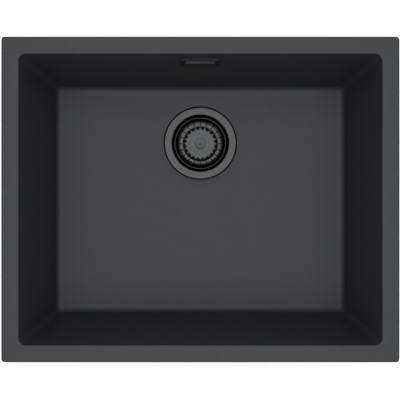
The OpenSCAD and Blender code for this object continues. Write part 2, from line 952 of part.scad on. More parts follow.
// A block with a round rear end over the spigot, from one height to another
module hood(r, front, from, to) {
    translate([0, 0, from])
        linear_extrude(height = to - from) {
            translate([0, pipe_y])
                circle(r);
            translate([-r, front])
                square([2 * r, pipe_y - front]);
        }
}

module overflow_housing() {
    color(black_plastic)
        difference() {
            union() {
                at_overflow() {
                    difference() {
                        wall_slab(housing_w, housing_h, frame_corner_r, housing_front, housing_back);
                        housing_space();
                    }
                    for (x = [-screw_bar_x, screw_bar_x])
                        wall_bar(x, overflow_boss_r, frame_reach + fit_gap, housing_back);
                }
                difference() {
                    hood(spigot_r, hood_front, hood_under, hood_top);
                    at_overflow()
                        housing_space();
                }
                translate([0, pipe_y, spigot_end_z])
                    cylinder(r = spigot_r, h = hood_top - spigot_end_z);
            }
            at_overflow()
                for (x = [-screw_bar_x, screw_bar_x])
                    wall_bar(x, overflow_screw_r + running_gap, 0, overflow_screw_end + running_gap);
            hood(spigot_bore_r, hood_front + past, hood_under + housing_t, hood_top - housing_t);
            translate([0, pipe_y, spigot_end_z - past])
                cylinder(r = spigot_bore_r, h = past + pipe_entry);
            translate([0, pipe_y, spigot_end_z])
                cylinder(r = pipe_bore_r, h = hood_top - housing_t - spigot_end_z);
        }
}

// The pipe's round section swept down, round its bend and forwards
module pipe_run(r, run_past) {
    bend_z = inlet_z + bend_r;
    bend_y = pipe_y - bend_r;
    fall = spigot_end_z + pipe_entry - fit_gap - bend_z;
    level = bend_y - inlet_end_y + pipe_entry - fit_gap;
    translate([0, bend_y, bend_z])
        rotate([-90, 0, 90]) {
            rotate_extrude(angle = 90)
                translate([bend_r, 0])
                    circle(r);
            translate([bend_r, 0, 0])
                rotate([90, 0, 0])
                    cylinder(r = r, h = fall + run_past);
            translate([0, bend_r, 0])
                rotate([0, -90, 0])
                    cylinder(r = r, h = level + run_past);
        }
}

module overflow_pipe() {
    color(black_plastic)
        difference() {
            pipe_run(pipe_r, 0);
            pipe_run(pipe_bore_r, past);
        }
}

// A gripped nut that runs on a spigot along +Z and holds a seal under its lip
module pipe_nut() {
    difference() {
        union() {
            translate([0, 0, -nut_cover])
                cylinder(r = nut_r, h = nut_cover + pipe_seal_t + nut_lip_t);
            for (i = [0:grip_count - 1])
                rotate([0, 0, 360 * i / grip_count])
                    translate([nut_r, 0, -nut_cover])
                        cylinder(r = grip_r, h = nut_cover + pipe_seal_t, $fn = 24);
        }
        translate([0, 0, -nut_cover - past])
            cylinder(r = spigot_r + running_gap, h = nut_cover + past + pipe_seal_t);
        cylinder(r = pipe_r + running_gap, h = pipe_seal_t + nut_lip_t + past);
    }
}

// Frames of reference at the two ends of the pipe, with +Z out of the spigot
module at_top_spigot() {
    translate([0, pipe_y, spigot_end_z])
        rotate([180, 0, 0])
            children();
}

module at_inlet() {
    translate([0, inlet_end_y, inlet_z])
        rotate([-90, 0, 0])
            children();
}

module pipe_seal() {
    ring(spigot_r, pipe_r + running_gap, 0, pipe_seal_t - running_gap);
}

module pipe_nut_top() {
    color(black_plastic)
        at_top_spigot()
            pipe_nut();
}

module pipe_nut_bottom() {
    color(black_plastic)
        at_inlet()
            pipe_nut();
}

module pipe_seal_top() {
    color(rubber_black)
        at_top_spigot()
            pipe_seal();
}

module pipe_seal_bottom() {
    color(rubber_black)
        at_inlet()
            pipe_seal();
}

sink_bowl();
rim_strip();
clamp_inserts();
for (k = [1:clamp_count]) clamp_screw(k - 1);
for (k = [1:clamp_count]) clamp_tongue(k - 1);
waste_flange();
flange_seal();
body_gasket();
waste_body();
body_insert();
centre_screw();
basket();
basket_seal();
seal_retainer();
strainer_post();
post_ring();
overflow_frame();
overflow_cover();
overflow_screws();
overflow_gasket();
overflow_housing();
overflow_pipe();
pipe_nut_top();
pipe_nut_bottom();
pipe_seal_top();
pipe_seal_bottom();
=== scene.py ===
import json
import math

import bmesh
import bpy
from mathutils import Matrix, Vector


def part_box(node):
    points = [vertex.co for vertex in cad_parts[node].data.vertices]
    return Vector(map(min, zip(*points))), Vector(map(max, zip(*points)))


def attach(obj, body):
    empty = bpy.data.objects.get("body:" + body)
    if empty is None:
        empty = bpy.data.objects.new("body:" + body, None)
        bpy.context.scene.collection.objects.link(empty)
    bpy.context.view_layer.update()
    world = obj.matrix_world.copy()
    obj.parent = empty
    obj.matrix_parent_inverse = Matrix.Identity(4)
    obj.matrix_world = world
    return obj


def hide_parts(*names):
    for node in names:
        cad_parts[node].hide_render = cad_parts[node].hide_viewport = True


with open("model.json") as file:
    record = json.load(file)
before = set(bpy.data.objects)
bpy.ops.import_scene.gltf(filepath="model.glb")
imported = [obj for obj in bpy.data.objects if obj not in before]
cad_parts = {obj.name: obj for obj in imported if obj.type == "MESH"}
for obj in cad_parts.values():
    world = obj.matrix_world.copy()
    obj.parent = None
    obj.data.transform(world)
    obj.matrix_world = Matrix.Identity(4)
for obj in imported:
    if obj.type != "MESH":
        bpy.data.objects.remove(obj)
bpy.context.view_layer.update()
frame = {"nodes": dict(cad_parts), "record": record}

nodes = frame["nodes"]
QUARTER = math.pi / 2

# Camera: straight above the sink, as in the photograph
CAMERA_HEIGHT = 1.308
CAMERA_X, CAMERA_Y = -0.0005, -0.0007
SENSOR_WIDTH = 36.0
VIEW_ANGLE = math.radians(23.96)

# Light: a soft key straight above and an even surround
KEY_HEIGHT, KEY_SIZE, KEY_POWER = 1.7, 1.96, 34.6
SURROUND = 0.02

# Floor: a pale disk just under the lowest piece, which glows where it is seen
FLOOR_Z, FLOOR_R, FLOOR_SIDES = -0.2836, 4.0, 96
FLOOR_GREY, FLOOR_GLOW = 0.86, 0.72

# Rim, wall and basin, as in the solids, in metres
RIM_BORDER, RIM_EDGE_R, RIM_CORNER_R, LOWER_EDGE = 0.024, 0.002, 0.005, 0.0008
MOUTH_X, MOUTH_Y, MOUTH_CORNER_R = 0.251, 0.201, 0.010
RIM_TOP, RIM_UNDER = 0.008, 0.0015
BASIN_Z, BASIN_LOW = -0.192, -0.194
DRAFT = math.radians(6.5)
WALL_T, BASIN_ROUND, BASIN_CORNER_R = 0.007, 0.010, 0.003
CORNER_SHRINK = 0.5
UNDER_RINGS, RIM_RINGS, WALL_RINGS, FLOOR_RINGS = 10, 6, 12, 14

# Seat of the waste in the basin's floor, with the pad under it
WASTE_Y = 0.09
HOLE_R, RECESS_R, RECESS_EDGE, PAD_R, PAD_FOOT = 0.045, 0.0585, 0.0005, 0.0625, 0.001
SEAT_Z, PAD_Z = -0.1965, -0.2045

# Bosses for the clamps, with the bores for inserts and screws
CLAMP_SIDE = 0.14
BOSS_W, BOSS_H, BOSS_ROUND, BOSS_SKIN, BOSS_OUT = 0.016, 0.022, 0.003, 0.0025, 0.0154
BOSS_BITE = 0.003
INSERT_R, INSERT_H, CLAMP_BORE_R, CLAMP_BORE_TOP = 0.00336, 0.011, 0.0028, -0.0035
SCREW_IN = 0.0046
CUT_OVER = 0.001

# Overflow: the slot through the wall and the cover in front of it
SLOT_W, SLOT_H, SLOT_R, SLOT_START, SLOT_LENGTH = 0.049, 0.022, 0.005, 0.002, 0.012
OVERFLOW_Y, OVERFLOW_Z = 0.195987, -0.036
RISE = Vector((0, math.sin(DRAFT), math.cos(DRAFT)))
AWAY = Vector((0, -math.cos(DRAFT), math.sin(DRAFT)))
COVER_W, COVER_H, COVER_R, COVER_T = 0.046, 0.024, 0.005, 0.0015
COVER_BACK, FRAME_FACE = 0.0039, 0.0015
COVER_SOFT, COVER_GAP, COVER_BITE, COVER_INSIDE = 0.0009, 0.0003, 0.0004, 0.00005
NOTCH_X, NOTCH_LOW, NOTCH_HIGH, NOTCH_LENGTH = 0.0185, -0.013, -0.0095, 0.004

# Upper waste as rows of radius, height above its top and rounding of that corner
FLANGE_TOP = -0.1943
FLANGE_ROWS = [
    (0.0565, -0.001, 0), (0.0565, 0, 0.0003), (0.0458, 0, 0.001), (0.0437, -0.003, 0.0015),
    (0.0437, -0.0085, 0.002), (0.032, -0.02186, 0.003), (0.0095, -0.02186, 0.001),
    (0.0095, -0.02716, 0.0005), (0.00606, -0.02716, 0), (0.00606, -0.02816, 0),
    (0.0105, -0.02816, 0.001), (0.0105, -0.02286, 0.0005), (0.03245, -0.02286, 0.004),
    (0.0447, -0.00887, 0.003), (0.0447, -0.0025, 0.0005), (0.0449, -0.0018, 0),
    (0.0458, -0.001, 0)]
OUTLETS, OUTLET_R, OUTLET_D, OUTLET_UNDER, OUTLET_DEPTH = 8, 0.02075, 0.006, 0.0235, 0.003

# Basket: its flutes' grooves and crests, and rows as above for the recess and the part under it
BASKET_FLOOR, BASKET_T = -0.2123, 0.0008
GROOVE = {"ramp_start": 0.0254, "ramp_end": 0.0278, "rise": 0.0014, "bend_x": 0.0305}
CREST = {"ramp_start": 0.0240, "ramp_end": 0.0296, "rise": 0.0018, "bend_x": 0.0298}
RECESS_ROWS = [
    (0.00406, -0.0015, 0), (0.00892, -0.0015, 0.0003), (0.00892, 0, 0.0002), (0.0092, 0, 0)]
UNDER_ROWS = [
    (0.0100, -0.0008, 0), (0.00972, -0.0008, 0.0002), (0.00972, -0.0023, 0.0003),
    (0.00406, -0.0023, 0)]
RECESS_STEPS = 3
FLAT_RADII = (0.0096, 0.0125, 0.016, 0.0195, 0.0225, 0.0234)
SHOULDER_R, BEND_R = 0.0114, 0.0046
KNEE_ANGLE, WALL_ANGLE = math.radians(32), math.radians(76)
SHEET_STEPS, WALL_STEPS = 8, 6
LIP_R, LIP_UP, LIP_ROUND, LIP_TURN, LIP_STEPS = 0.0403, 0.014, 0.0009, math.radians(240), 14
FLUTES, FLUTE_STEPS, FLUTE_POWER = 20, 24, 14
STRAINER_R, STRAINER_D, STRAINER_UNDER, STRAINER_DEPTH = 0.0252, 0.0057, 0.002, 0.006

# Fittings below: the rounding of their edges, in which threads are cut afterwards
SOFT_EDGES = {
    "waste_body": 0.0004, "overflow_housing": 0.0004, "pipe_nut_top": 0.0003,
    "pipe_nut_bottom": 0.0003, "seal_retainer": 0.0002, "centre_screw": 0.0003}
CLAMPS, CLAMP_SOFT = 6, 0.0003

# Threads as radius, depth, pitch, lowest and highest, which stay inside the solids' cylinders
OUTLET_THREAD = (0.0239, 0.0008, 0.002309, -0.2825, -0.2635)
CLAMP_THREAD = (0.0025, 0.0004, 0.0008, -0.0475, -0.0175)
THREAD_CLEAR, GROOVE_HALF = 0.0002, 0.45
OUTLET_STEPS, CLAMP_STEPS = 32, 16

# Meshes: points round corners, sides and circles, and tolerances
CORNER_STEPS, SIDE_STEPS, ROUND_STEPS = 20, 14, 14
TURNED_STEPS, HOLE_STEPS, SECTION_STEPS, SOFT_STEPS = 180, 40, 6, 3
SHARP, FLAT_ENOUGH = math.radians(32), math.radians(1)
SAME_PLACE, SEAM, IN_FRONT = 1e-6, 2e-6, 1e-5

# Colours, and the painted shade and light by which slope, height and depth scale them: steep faces
# and the cup's depths painted darker, the rim painted lighter
STONE_DARK, STONE_LIGHT = (0.0342, 0.035, 0.0378), (0.0446, 0.0456, 0.0492)
STEEP, LEVEL, STEEP_SHADE = 0.1, 0.9, 0.79
RIM_LIGHT = 1.115
# Painted shade inside the cup: the heights over which the metal darkens, and how dark it gets
CUP_SHADE_LOW, CUP_SHADE_HIGH, CUP_SHADE = -0.2138, -0.2130, 0.35
RING_STRETCH = 40.0
CLOUD_SIZE = 12
ROUGH_SPREAD = 0.06

# Places of the colours among the mix node's sockets
MIX_FACTOR, MIX_A, MIX_B, MIX_RESULT = 0, 6, 7, 2


class Graph:
    """Short calls for building a node tree."""

    def __init__(self, tree):
        self.tree = tree

    def add(self, kind, inputs=(), **settings):
        """A node with its settings, and with links or constants on its inputs."""
        node = self.tree.nodes.new(kind)
        for key, value in settings.items():
            setattr(node, key, value)
        for key, value in dict(inputs).items():
            socket = node.inputs[key]
            if isinstance(value, bpy.types.NodeSocket):
                self.tree.links.new(value, socket)
            else:
                socket.default_value = value
        return node

    def coords(self):
        return self.add("ShaderNodeTexCoord").outputs["Object"]

    def parts(self, vector):
        return self.add("ShaderNodeSeparateXYZ", {"Vector": vector}).outputs

    def noise(self, vector, scale, detail=3.0, roughness=0.5):
        made = self.add("ShaderNodeTexNoise", {
            "Vector": vector, "Scale": scale, "Detail": detail, "Roughness": roughness})
        return made.outputs["Fac"]

    def spread(self, value, low, high, from_low=0.3, from_high=0.7):
        """A stretch of a value, otherwise the middle of a noise, spread from low to high."""
        made = self.add("ShaderNodeMapRange", {
            "Value": value, "From Min": from_low, "From Max": from_high,
            "To Min": low, "To Max": high})
        return made.outputs["Result"]

    def math(self, operation, a, b=0.0):
        made = self.add("ShaderNodeMath", {0: a, 1: b}, operation=operation)
        return made.outputs[0]

    def share(self, a, part, b):
        """A part of the first value and the rest of the second."""
        return self.math("ADD", self.math("MULTIPLY", a, part), self.math("MULTIPLY", b, 1 - part))

    def mix(self, factor, a, b):
        """A colour between two, which are given without alpha."""
        made = self.add("ShaderNodeMix", {
            MIX_FACTOR: factor, MIX_A: (*a, 1), MIX_B: (*b, 1)}, data_type="RGBA")
        return made.outputs[MIX_RESULT]

    def scaled(self, colour, tone):
        made = self.add("ShaderNodeVectorMath", {0: colour, "Scale": tone}, operation="SCALE")
        return made.outputs[0]

    def bump(self, height, strength, distance):
        made = self.add("ShaderNodeBump", {
            "Height": height, "Strength": strength, "Distance": distance})
        return made.outputs["Normal"]

    def seen(self):
        """1 for what the camera sees, straight, mirrored or through something clear."""
        path = self.add("ShaderNodeLightPath").outputs
        seen = self.math("MAXIMUM", path["Is Camera Ray"], path["Is Glossy Ray"])
        return self.math("MAXIMUM", seen, path["Is Transmission Ray"])

    def surface(self, colour, roughness, normal, **constants):
        """The material's surface, with further sockets named with _ for a space."""
        inputs = {"Base Color": colour, "Roughness": roughness, "Normal": normal}
        inputs.update({key.replace("_", " "): value for key, value in constants.items()})
        self.finish(self.add("ShaderNodeBsdfPrincipled", inputs).outputs["BSDF"])

    def finish(self, shader):
        self.add("ShaderNodeOutputMaterial", {"Surface": shader})


def new_material(name):
    """An empty material and the graph that fills it."""
    mat = bpy.data.materials.new(name)
    mat.use_nodes = True
    mat.node_tree.nodes.clear()
    return mat, Graph(mat.node_tree)


def composite_material():
    """Speckled stone, with painted shade where it is steep and painted light towards the rim."""
    mat, g = new_material("composite")
    place = g.coords()
    grain = g.noise(place, scale=900.0, detail=4.0, roughness=0.6)
    cloud = g.noise(place, scale=60.0)
    speckle = g.spread(g.share(grain, 0.75, cloud), 0.0, 1.0, from_low=0.35, from_high=0.65)
    stone = g.mix(speckle, STONE_DARK, STONE_LIGHT)
    facing = g.parts(g.add("ShaderNodeNewGeometry").outputs["Normal"])["Z"]
    # Painted shade on steep faces, which darkens the walls, and painted light that makes the stone
    # lighter towards the rim
    painted_slope_shade = g.spread(g.math("ABSOLUTE", facing), STEEP_SHADE, 1.0, STEEP, LEVEL)
    painted_rim_light = g.spread(g.parts(place)["Z"], 1.0, RIM_LIGHT, BASIN_Z, 0.0)
    colour = g.scaled(stone, g.math("MULTIPLY", painted_slope_shade, painted_rim_light))
    normal = g.bump(grain, strength=0.25, distance=0.0002)
    g.surface(colour, g.spread(grain, 0.44, 0.52), normal, Specular_IOR_Level=0.15)
    return mat


def radius_from_waste(g, place):
    """Distance from the waste's axis, for marks that run round it, and height."""
    moved = g.add("ShaderNodeVectorMath", {0: place, 1: (0, WASTE_Y, 0)}, operation="SUBTRACT")
    split = g.parts(moved.outputs[0])
    flat = g.add("ShaderNodeCombineXYZ", {"X": split["X"], "Y": split["Y"]})
    length = g.add("ShaderNodeVectorMath", {0: flat.outputs[0]}, operation="LENGTH")
    return length.outputs["Value"], split["Z"]


def metal_material(name, dark, light, smooth, rough):
    """Metal brushed in circles round the waste's axis, with painted shade down inside the cup."""
    mat, g = new_material(name)
    place = g.coords()
    r, z = radius_from_waste(g, place)
    rings = g.add("ShaderNodeCombineXYZ", {"X": g.math("MULTIPLY", r, RING_STRETCH), "Y": z})
    brushed = g.noise(rings.outputs[0], scale=90.0, roughness=0.7)
    speck = g.noise(place, scale=1400.0, detail=2.0)
    streaks = g.mix(g.spread(brushed, 0.0, 1.0), dark, light)
    # Painted shade: the colour falls to about a third below the basket's floor, down in the cup
    # and well
    colour = g.scaled(streaks, g.spread(z, CUP_SHADE, 1.0, CUP_SHADE_LOW, CUP_SHADE_HIGH))
    normal = g.bump(g.share(brushed, 0.7, speck), strength=0.15, distance=0.00008)
    g.surface(colour, g.spread(speck, smooth, rough), normal, Metallic=1.0)
    return mat


def grained_material(name, dark, light, roughness, grain_scale, bump, **constants):
    """Plastic, rubber or bare metal with a fine even grain."""
    mat, g = new_material(name)
    place = g.coords()
    grain = g.noise(place, grain_scale, detail=4.0, roughness=0.6)
    cloud = g.noise(place, grain_scale / CLOUD_SIZE, detail=2.0)
    colour = g.mix(g.spread(g.share(grain, 0.6, cloud), 0.0, 1.0), dark, light)
    rough = g.spread(grain, roughness - ROUGH_SPREAD, roughness + ROUGH_SPREAD)
    g.surface(colour, rough, g.bump(grain, bump, distance=0.0002), **constants)
    return mat


def floor_material():
    mat, g = new_material("pale_floor")
    paint = g.add("ShaderNodeBsdfDiffuse", {"Color": (FLOOR_GREY, FLOOR_GREY, FLOOR_GREY, 1)})
    strength = g.math("MULTIPLY", g.seen(), FLOOR_GLOW)
    glow = g.add("ShaderNodeEmission", {"Color": (1, 1, 1, 1), "Strength": strength})
    both = g.add("ShaderNodeAddShader", {0: paint.outputs[0], 1: glow.outputs[0]})
    g.finish(both.outputs[0])
    return mat


def set_world():
    """A white surround, which lights the scene only faintly."""
    world = bpy.data.worlds.new("surround")
    bpy.context.scene.world = world
    world.use_nodes = True
    world.node_tree.nodes.clear()
    g = Graph(world.node_tree)
    strength = g.spread(g.seen(), SURROUND, 1.0, from_low=0.0, from_high=1.0)
    back = g.add("ShaderNodeBackground", {"Color": (1, 1, 1, 1), "Strength": strength})
    g.add("ShaderNodeOutputWorld", {"Surface": back.outputs[0]})


def set_camera():
    data = bpy.data.cameras.new("camera")
    data.sensor_width = SENSOR_WIDTH
    data.lens = SENSOR_WIDTH / 2 / math.tan(VIEW_ANGLE / 2)
    camera = bpy.data.objects.new("camera", data)
    bpy.context.scene.collection.objects.link(camera)
    camera.location = (CAMERA_X, CAMERA_Y, CAMERA_HEIGHT)
    bpy.context.scene.camera = camera


def set_key():
    data = bpy.data.lights.new("key", "AREA")
    data.shape = "DISK"
    data.size = KEY_SIZE
    data.energy = KEY_POWER
    key = bpy.data.objects.new("key", data)
    key.location = (0, 0, KEY_HEIGHT)
    key.visible_camera = False
    bpy.context.scene.collection.objects.link(key)


def mark_sharp(bm):
    for edge in bm.edges:
        edge.smooth = edge.calc_face_angle(0) < SHARP


def link_mesh(name, bm, smooth=True):
    """An object in the scene from a bmesh, which is used up."""
    mark_sharp(bm)
    mesh = bpy.data.meshes.new(name)
    bm.to_mesh(mesh)
    bm.free()
    for face in mesh.polygons:
        face.use_smooth = smooth
    obj = bpy.data.objects.new(name, mesh)
    bpy.context.scene.collection.objects.link(obj)
    return obj


def set_material(obj, material):
    obj.data.materials.clear()
    obj.data.materials.append(material)


def finish_piece(obj, body, node, material):
    """Shades a new piece and lets it ride on its body instead of its node."""
    bm = bmesh.new()
    bm.from_mesh(obj.data)
    mark_sharp(bm)
    bm.to_mesh(obj.data)
    bm.free()
    for face in obj.data.polygons:
        face.use_smooth = True
    set_material(obj, material)
    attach(obj, body)
    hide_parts(node)


def set_floor():
    bm = bmesh.new()
    bmesh.ops.create_circle(bm, cap_ends=True, segments=FLOOR_SIDES, radius=FLOOR_R)
    bmesh.ops.translate(bm, vec=Vector((0, 0, FLOOR_Z)), verts=bm.verts)
    floor = link_mesh("floor", bm, smooth=False)
    set_material(floor, floor_material())


def circle_points(centre, r, angles):
    return [centre + r * Vector((math.cos(a), math.sin(a), 0)) for a in angles]


def outline(half_x, half_y, r, z):
    """One ring of points round a rectangle with rounded corners."""
    corners = []
    for c, (sx, sy) in enumerate([(1, 1), (-1, 1), (-1, -1), (1, -1)]):
        centre = Vector((sx * (half_x - r), sy * (half_y - r), z))
        angles = [QUARTER * (c + i / CORNER_STEPS) for i in range(CORNER_STEPS + 1)]
        corners.append(circle_points(centre, r, angles))
    points = []
    for c, corner in enumerate(corners):
        start, end = corner[-1], corners[(c + 1) % 4][0]
        points += corner + [start.lerp(end, i / SIDE_STEPS) for i in range(1, SIDE_STEPS)]
    return points


def inset_ring(inset, z, r):
    """A ring at a distance inside the mouth at the rim's top."""
    return outline(MOUTH_X - inset, MOUTH_Y - inset, r, z)


def wall_inset(z):
    """How far the sloping wall has come in at a height."""
    return (RIM_TOP - z) * math.tan(DRAFT)


def corner_at(inset, z):
    return max(MOUTH_CORNER_R - CORNER_SHRINK * (inset - wall_inset(z)), BASIN_CORNER_R)


def waste_ring(r, z):
    """A circle round the waste, with as many points as other rings and the same one rearmost."""
    count = 4 * (CORNER_STEPS + SIDE_STEPS)
    rearmost = CORNER_STEPS + SIDE_STEPS / 2
    angles = [QUARTER + 2 * math.pi * (i - rearmost) / count for i in range(count)]
    return circle_points(Vector((0, WASTE_Y, z)), r, angles)


def between(first, last, count):
    """The rings between two rings, without either."""
    return [[a.lerp(b, i / count) for a, b in zip(first, last)] for i in range(1, count)]


def arc(x, z, r, start, end):
    """Points as (inset, height) on a round stretch of the bowl's section, from angle to angle."""
    angles = [start + (end - start) * i / ROUND_STEPS for i in range(ROUND_STEPS + 1)]
    return [(x - r * math.cos(a), z - r * math.sin(a)) for a in angles]


def bowl_rings():
    """Rings of points from the waste outwards below, over the rim and back inside."""
    slant = WALL_T / math.cos(DRAFT)
    edge_z = RIM_TOP - RIM_EDGE_R
    mouth_mid = wall_inset(edge_z) - RIM_EDGE_R / math.cos(DRAFT)
    outer = -RIM_BORDER
    round_z = BASIN_Z + BASIN_ROUND
    round_inset = wall_inset(round_z) + BASIN_ROUND / math.cos(DRAFT)
    inside = [
        inset_ring(x, z, corner_at(x, z))
        for x, z in arc(round_inset, round_z, BASIN_ROUND, DRAFT, QUARTER)]
    under = [
        inset_ring(x, z, corner_at(x + WALL_T, z) + WALL_T)
        for x, z in arc(round_inset, round_z, BASIN_ROUND + WALL_T, QUARTER, DRAFT)]
    top_out = [
        inset_ring(x, z, RIM_CORNER_R - (x - outer))
        for x, z in arc(outer + RIM_EDGE_R, edge_z, RIM_EDGE_R, 0, -QUARTER)]
    top_in = [
        inset_ring(x, z, MOUTH_CORNER_R + wall_inset(z) - x)
        for x, z in arc(mouth_mid, edge_z, RIM_EDGE_R, -QUARTER, DRAFT - 2 * QUARTER)]
    below = waste_ring(PAD_R + PAD_FOOT, BASIN_LOW - WALL_T)
    top_under = inset_ring(wall_inset(RIM_UNDER) - slant, RIM_UNDER, MOUTH_CORNER_R + WALL_T)
    lip = waste_ring(RECESS_R + RECESS_EDGE, BASIN_LOW)
    lip_round = []
    for a in (QUARTER / 3, QUARTER * 2 / 3, QUARTER):
        fall = RECESS_EDGE * (1 - math.cos(a))
        lip_round.append(waste_ring(RECESS_R + RECESS_EDGE * (1 - math.sin(a)), BASIN_LOW - fall))
    rings = [waste_ring(HOLE_R, PAD_Z), waste_ring(PAD_R, PAD_Z), below]
    rings += between(below, under[0], UNDER_RINGS) + under
    rings += between(under[-1], top_under, UNDER_RINGS) + [top_under]
    rings += [inset_ring(outer + LOWER_EDGE, RIM_UNDER, RIM_CORNER_R - LOWER_EDGE)]
    rings += [inset_ring(outer, RIM_UNDER + LOWER_EDGE, RIM_CORNER_R)] + top_out
    rings += between(top_out[-1], top_in[0], RIM_RINGS) + top_in
    rings += between(top_in[-1], inside[0], WALL_RINGS) + inside
    rings += between(inside[-1], lip, FLOOR_RINGS) + [lip] + lip_round
    return rings + [waste_ring(RECESS_R, SEAT_Z), waste_ring(HOLE_R, SEAT_Z)]


def chain_mesh(rings, whole=True):
    """A closed skin through a closed chain of rings, or of arcs with a flat face at each end."""
    bm = bmesh.new()
    grid = [[bm.verts.new(p) for p in ring] for ring in rings]
    around = len(grid[0])
    for lower, upper in zip(grid, grid[1:] + grid[:1]):
        for i in range(around if whole else around - 1):
            j = (i + 1) % around
            bm.faces.new((lower[i], lower[j], upper[j], upper[i]))
    if not whole:
        for side in (0, -1):
            bm.faces.new([row[side] for row in grid])
    bmesh.ops.recalc_face_normals(bm, faces=bm.faces)
    return bm


def prism_mesh(prisms):
    """Closed solids, each from a flat outline and the way it is drawn out."""
    bm = bmesh.new()
    for points, along in prisms:
        low = [bm.verts.new(p) for p in points]
        high = [bm.verts.new(p + along) for p in points]
        bm.faces.new(list(reversed(low)))
        bm.faces.new(high)
        for i in range(len(low)):
            j = (i + 1) % len(low)
            bm.faces.new((low[i], low[j], high[j], high[i]))
    bmesh.ops.recalc_face_normals(bm, faces=bm.faces)
    return bm


def boolean(obj, other, operation):
    """Joins or cuts one object with another, which is used up."""
    change = obj.modifiers.new(operation, "BOOLEAN")
    change.operation = operation
    change.object = other
    change.solver = "EXACT"
    shown = obj.evaluated_get(bpy.context.evaluated_depsgraph_get())
    mesh = bpy.data.meshes.new_from_object(shown)
    obj.modifiers.clear()
    obj.data = mesh
    bpy.data.objects.remove(other)


def cut_prisms(obj, name, prisms):
    boolean(obj, link_mesh(name, prism_mesh(prisms)), "DIFFERENCE")


def bore(centre, r, depth):
    """A round prism upwards from a centre."""
    angles = [2 * math.pi * i / HOLE_STEPS for i in range(HOLE_STEPS)]
    return circle_points(centre, r, angles), Vector((0, 0, depth))


def wall_point(x, up, out):
    """A place by the overflow: across, up along the wall, and out of it into the bowl."""
    return Vector((x, OVERFLOW_Y, OVERFLOW_Z)) + up * RISE + out * AWAY


def clamp_frames():
    """Each clamp's middle on the rim's underside and the way outwards."""
    x, y = MOUTH_X + BOSS_OUT, MOUTH_Y + BOSS_OUT
    places = []
    for px in (-CLAMP_SIDE, CLAMP_SIDE):
        places += [((px, py, 0), (0, math.copysign(1, py), 0)) for py in (-y, y)]
    places += [((px, 0, 0), (math.copysign(1, px), 0, 0)) for px in (-x, x)]
    return [(Vector(place), Vector(out)) for place, out in places]


def make_bowl(material):
    """The bowl's skin with its bosses, their bores and the overflow's slot."""
    obj = link_mesh("bowl_skin", chain_mesh(bowl_rings()))
    bosses, holes, bores = [], [], []
    depth = BOSS_OUT + wall_inset(RIM_UNDER) - BOSS_SKIN
    flat = outline(BOSS_W / 2, depth / 2, BOSS_ROUND, 0)
    for place, out in clamp_frames():
        side = Vector((-out.y, out.x, 0))
        foot = place - out * depth / 2 - Vector((0, 0, BOSS_H))
        ring = [foot + side * p.x + out * p.y for p in flat]
        bosses.append((ring, Vector((0, 0, BOSS_H + BOSS_BITE))))
        axis = place - out * SCREW_IN
        hole_start = axis - Vector((0, 0, BOSS_H + CUT_OVER))
        holes.append(bore(hole_start, INSERT_R, INSERT_H + CUT_OVER))
        bore_start = axis - Vector((0, 0, BOSS_H - INSERT_H + CUT_OVER))
        bores.append(bore(bore_start, CLAMP_BORE_R, CLAMP_BORE_TOP - bore_start.z))
    boolean(obj, link_mesh("bosses", prism_mesh(bosses)), "UNION")
    cut_prisms(obj, "holes", holes)
    cut_prisms(obj, "bores", bores)
    flat = outline(SLOT_W / 2, SLOT_H / 2, SLOT_R, 0)
    slot = [wall_point(p.x, p.y, SLOT_START) for p in flat]
    cut_prisms(obj, "slot", [(slot, -SLOT_LENGTH * AWAY)])
    finish_piece(obj, "sink", "sink_bowl", material)


def softened(name, width, chosen=lambda edge: True):
    """A copy of a node's mesh as a bmesh, with its chosen sharp edges rounded."""
    bm = bmesh.new()
    bm.from_mesh(nodes[name].data)
    bmesh.ops.remove_doubles(bm, verts=bm.verts, dist=SAME_PLACE)
    bmesh.ops.dissolve_limit(bm, angle_limit=FLAT_ENOUGH, verts=bm.verts, edges=bm.edges)
    sharp = [e for e in bm.edges if e.is_manifold and e.calc_face_angle(0) > SHARP and chosen(e)]
    bmesh.ops.bevel(
        bm, geom=sharp, offset=width, segments=SOFT_STEPS, profile=0.5, affect="EDGES",
        clamp_overlap=True)
    return bm


def make_cover(material):
    """The overflow's cover, whose rim turns back towards the wall at the top and the sides."""
    face = wall_point(0, 0, COVER_BACK + COVER_T)

    def in_front(edge):
        return all((face - v.co).dot(AWAY) < IN_FRONT for v in edge.verts)

    obj = link_mesh("cover", softened("overflow_cover", COVER_SOFT, in_front))
    near, far = FRAME_FACE + COVER_GAP, COVER_BACK + COVER_BITE
    rings = []
    for inset, out in ((COVER_INSIDE, far), (COVER_INSIDE, near), (COVER_T, near), (COVER_T, far)):
        flat = outline(COVER_W / 2 - inset, COVER_H / 2 - inset, COVER_R - inset, 0)
        rings.append([wall_point(p.x, p.y, out) for p in flat])
    band = link_mesh("cover_rim", chain_mesh(rings))
    corners = [
        (-NOTCH_X, NOTCH_LOW), (NOTCH_X, NOTCH_LOW), (NOTCH_X, NOTCH_HIGH), (-NOTCH_X, NOTCH_HIGH)]
    notch = [wall_point(x, up, near - CUT_OVER) for x, up in corners]
    cut_prisms(band, "notch", [(notch, NOTCH_LENGTH * AWAY)])
    boolean(obj, band, "UNION")
    finish_piece(obj, "sink", "overflow_cover", material)


def rounded(rows, steps=SECTION_STEPS):
    """A section's points from (radius, height, rounding) rows."""
    points = []
    for i, (x, z, rounding) in enumerate(rows):
        corner = Vector((x, z))
        if not rounding:
            points.append(corner)
            continue
        back = (Vector(rows[i - 1][:2]) - corner).normalized()
        ahead = (Vector(rows[(i + 1) % len(rows)][:2]) - corner).normalized()
        half = back.angle(ahead) / 2
        centre = corner + (back + ahead).normalized() * rounding / math.sin(half)
        reach = rounding / math.tan(half)
        start, end = corner + back * reach - centre, corner + ahead * reach - centre
        points += [centre + rounding * start.slerp(end, k / steps) for k in range(steps + 1)]
    return points


